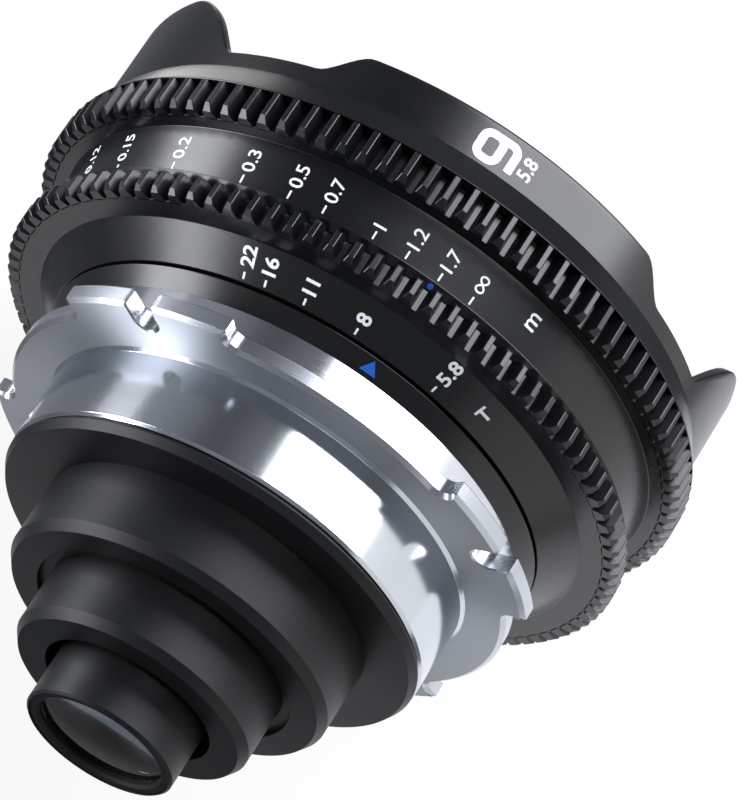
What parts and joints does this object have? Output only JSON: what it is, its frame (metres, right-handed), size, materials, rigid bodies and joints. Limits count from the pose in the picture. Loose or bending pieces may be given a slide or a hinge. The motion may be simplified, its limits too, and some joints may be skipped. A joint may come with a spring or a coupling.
{
  "type": "cinema prime lens",
  "caption": "Wide-angle cinema prime lens with a positive-lock mount, geared focus and aperture rings, stepped rear tiers and a petal hood.",
  "frame": {"origin": "centre of the mount's flange seating face, on the optical axis", "axes": "+Y along the optical axis out of the mount towards the camera, -Y out of the front glass, +Z through the index marks at the top of the barrel"},
  "size_m": [0.0848, 0.0774, 0.0848],
  "materials": {
    "mount_steel": "satin turned face with polished barrel and edges",
    "base_ring_metal": "bright turned finish",
    "shim_brass": "plain sheet",
    "screw_steel": "dark steel",
    "anodised_black": "satin bead-blasted black anodising",
    "blackened_inner": "matt black anodising",
    "cam_brass": "plain turned",
    "blade_steel": "blackened spring steel",
    "coated_glass": "coated optical glass"
  },
  "bodies": {
    "lens_body": {"pl_mount": "mount_steel", "mount_shim": "shim_brass", "mount_base_ring": "base_ring_metal", "mount_screws": "screw_steel", "aperture_index_ring": "anodised_black", "main_barrel": "blackened_inner", "focus_index_ring": "anodised_black", "hood": "anodised_black", "rear_base_ring": "anodised_black", "rear_sleeve": "anodised_black", "rear_nose": "anodised_black"},
    "aperture_body": {"aperture_ring": "anodised_black", "aperture_link_pin": "screw_steel"},
    "focus_body": {"focus_ring": "anodised_black"},
    "optical_block": {"front_cell": "blackened_inner", "front_element": "coated_glass", "front_retaining_ring": "blackened_inner", "second_element": "coated_glass", "second_retaining_ring": "blackened_inner", "third_element": "coated_glass", "third_retaining_ring": "blackened_inner", "inner_barrel": "blackened_inner", "cell_screws": "screw_steel", "focus_cam_pins": "cam_brass", "iris_plate": "screw_steel", "stop_doublet": "coated_glass", "doublet_spacer": "blackened_inner", "middle_doublet": "coated_glass", "middle_retaining_ring": "blackened_inner", "rear_tube": "anodised_black", "rear_doublet": "coated_glass", "rear_spacer": "blackened_inner", "rear_element": "coated_glass", "rear_retaining_ring": "blackened_inner"},
    "iris_cam": {"iris_cam_ring": "cam_brass"},
    "blade_1": {"iris_blade_1": "blade_steel"},
    "blade_2": {"iris_blade_2": "blade_steel"},
    "blade_3": {"iris_blade_3": "blade_steel"},
    "blade_4": {"iris_blade_4": "blade_steel"},
    "blade_5": {"iris_blade_5": "blade_steel"}
  },
  "joints": [
    {"name": "focus_turn", "type": "hinge", "parent": "lens_body", "child": "focus_body", "pos_m": [0, -0.02167, 0], "axis": [0, 1, 0], "range_deg": [-78, 9]},
    {"name": "aperture_turn", "type": "hinge", "parent": "lens_body", "child": "aperture_body", "pos_m": [0, -0.0118, 0], "axis": [0, 1, 0], "range_deg": [-31.4, 12.5]},
    {"name": "focus_travel", "type": "slide", "parent": "lens_body", "child": "optical_block", "axis": [0, -1, 0], "range_m": [-0.000068056, 0.00073889]},
    {"name": "iris_cam_turn", "type": "hinge", "parent": "optical_block", "child": "iris_cam", "pos_m": [0, -0.01057, 0], "axis": [0, 1, 0], "range_deg": [-32, 13]},
    {"name": "blade_1_swing", "type": "hinge", "parent": "optical_block", "child": "blade_1", "pos_m": [0.00551, -0.0092, 0.0058], "axis": [0, 1, 0], "range_deg": [-6.5, 16]},
    {"name": "blade_2_swing", "type": "hinge", "parent": "optical_block", "child": "blade_2", "pos_m": [0.00722, -0.0092, -0.00344], "axis": [0, 1, 0], "range_deg": [-6.5, 16]},
    {"name": "blade_3_swing", "type": "hinge", "parent": "optical_block", "child": "blade_3", "pos_m": [-0.00104, -0.0092, -0.00793], "axis": [0, 1, 0], "range_deg": [-6.5, 16]},
    {"name": "blade_4_swing", "type": "hinge", "parent": "optical_block", "child": "blade_4", "pos_m": [-0.00787, -0.0092, -0.00146], "axis": [0, 1, 0], "range_deg": [-6.5, 16]},
    {"name": "blade_5_swing", "type": "hinge", "parent": "optical_block", "child": "blade_5", "pos_m": [-0.00382, -0.0092, 0.00703], "axis": [0, 1, 0], "range_deg": [-6.5, 16]}
  ],
  "couplings": [
    {"joint": "focus_turn", "follows": "focus_travel", "rad_per_m": -1795.2},
    {"joint": "iris_cam_turn", "follows": "aperture_turn", "ratio": 1},
    {"joint": "blade_1_swing", "follows": "aperture_turn", "ratio": -0.5},
    {"joint": "blade_2_swing", "follows": "aperture_turn", "ratio": -0.5},
    {"joint": "blade_3_swing", "follows": "aperture_turn", "ratio": -0.5},
    {"joint": "blade_4_swing", "follows": "aperture_turn", "ratio": -0.5},
    {"joint": "blade_5_swing", "follows": "aperture_turn", "ratio": -0.5}
  ]
}
